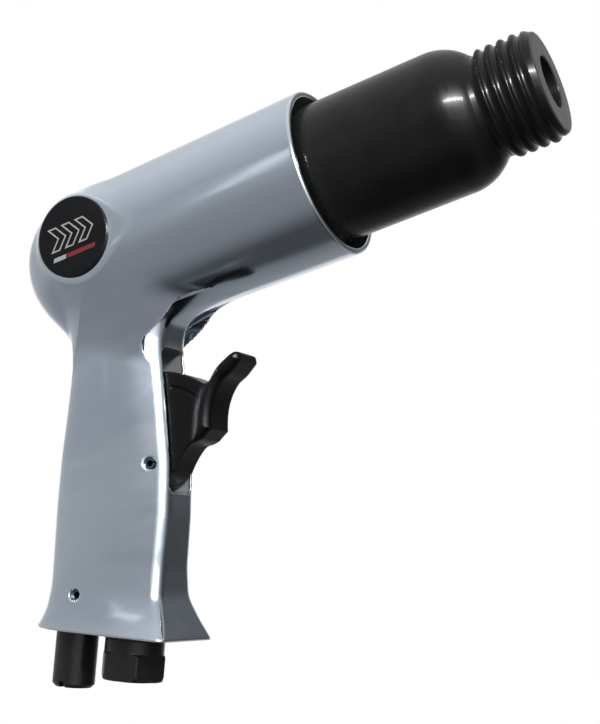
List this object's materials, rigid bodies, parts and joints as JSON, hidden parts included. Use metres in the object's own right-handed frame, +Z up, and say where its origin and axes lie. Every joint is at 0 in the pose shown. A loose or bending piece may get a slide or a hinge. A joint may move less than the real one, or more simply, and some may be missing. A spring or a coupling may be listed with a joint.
{
  "type": "pneumatic air hammer",
  "caption": "Pistol-grip pneumatic air hammer with a threaded chisel nose, rocker trigger, hexagon air inlet and air regulator in the foot of the grip.",
  "frame": {"origin": "centre of the muzzle face on the barrel axis, where the chisel's taper seats", "axes": "+X out of the muzzle along the barrel, +Z up with the grip hanging down and raked back, +Y to the left of a person holding the tool"},
  "size_m": [0.1795, 0.0462, 0.1419],
  "materials": {
    "cast_alloy": "polished cast alloy under a thin clear grey-blue lacquer",
    "black_oxide": "black oxide, satin",
    "hardened_steel": "ground and oiled",
    "valve_steel": "ground",
    "spring_steel": "drawn wire, oiled",
    "nitrile": "moulded",
    "trigger_black": "satin moulded",
    "black_steel": "black coated, satin",
    "roll_pin_steel": "dark phosphate",
    "brass": "turned",
    "screen_mesh": "punched stainless sheet",
    "badge_black": "domed gloss film"
  },
  "bodies": {
    "tool_body": {"housing": "cast_alloy", "barrel": "black_oxide", "valve_plate": "valve_steel", "valve_case": "valve_steel", "valve_dowels": "hardened_steel", "valve_cushion": "nitrile", "barrel_lock_ring": "spring_steel", "trigger_pin": "roll_pin_steel", "throttle_bushing": "brass", "throttle_spring": "spring_steel", "throttle_seal": "nitrile", "inlet_bushing": "black_steel", "inlet_washer": "nitrile", "inlet_screen": "screen_mesh", "regulator_pin": "roll_pin_steel", "badge_right": "badge_black", "badge_left": "badge_black"},
    "piston_body": {"piston": "hardened_steel"},
    "valve_disc_body": {"valve_disc": "hardened_steel"},
    "trigger_body": {"trigger": "trigger_black"},
    "throttle_body": {"throttle_stem": "hardened_steel", "throttle_ball": "hardened_steel"},
    "regulator_body": {"regulator_stem": "black_steel", "regulator_seal": "nitrile"}
  },
  "joints": [
    {"name": "trigger_pivot", "type": "hinge", "parent": "tool_body", "child": "trigger_body", "pos_m": [-0.13063, 0, -0.06229], "axis": [0, -1, 0], "range_deg": [0, 11], "stiffness_Nm_per_rad": 1.2, "springref_deg": -5.73},
    {"name": "throttle_slide", "type": "slide", "parent": "tool_body", "child": "throttle_body", "axis": [-0.9483, 0, 0.3173], "range_m": [0, 0.0034], "deforming": ["throttle_spring"]},
    {"name": "piston_slide", "type": "slide", "parent": "tool_body", "child": "piston_body", "axis": [1, 0, 0], "range_m": [0, 0.041]},
    {"name": "valve_disc_slide", "type": "slide", "parent": "tool_body", "child": "valve_disc_body", "axis": [1, 0, 0], "range_m": [0, 0.0011]},
    {"name": "regulator_turn", "type": "hinge", "parent": "tool_body", "child": "regulator_body", "pos_m": [-0.16887, 0, -0.09874], "axis": [-0.3173, 0, -0.9483], "continuous": true}
  ],
  "couplings": [
    {"joint": "throttle_slide", "follows": "trigger_pivot", "m_per_rad": 0.0177}
  ]
}
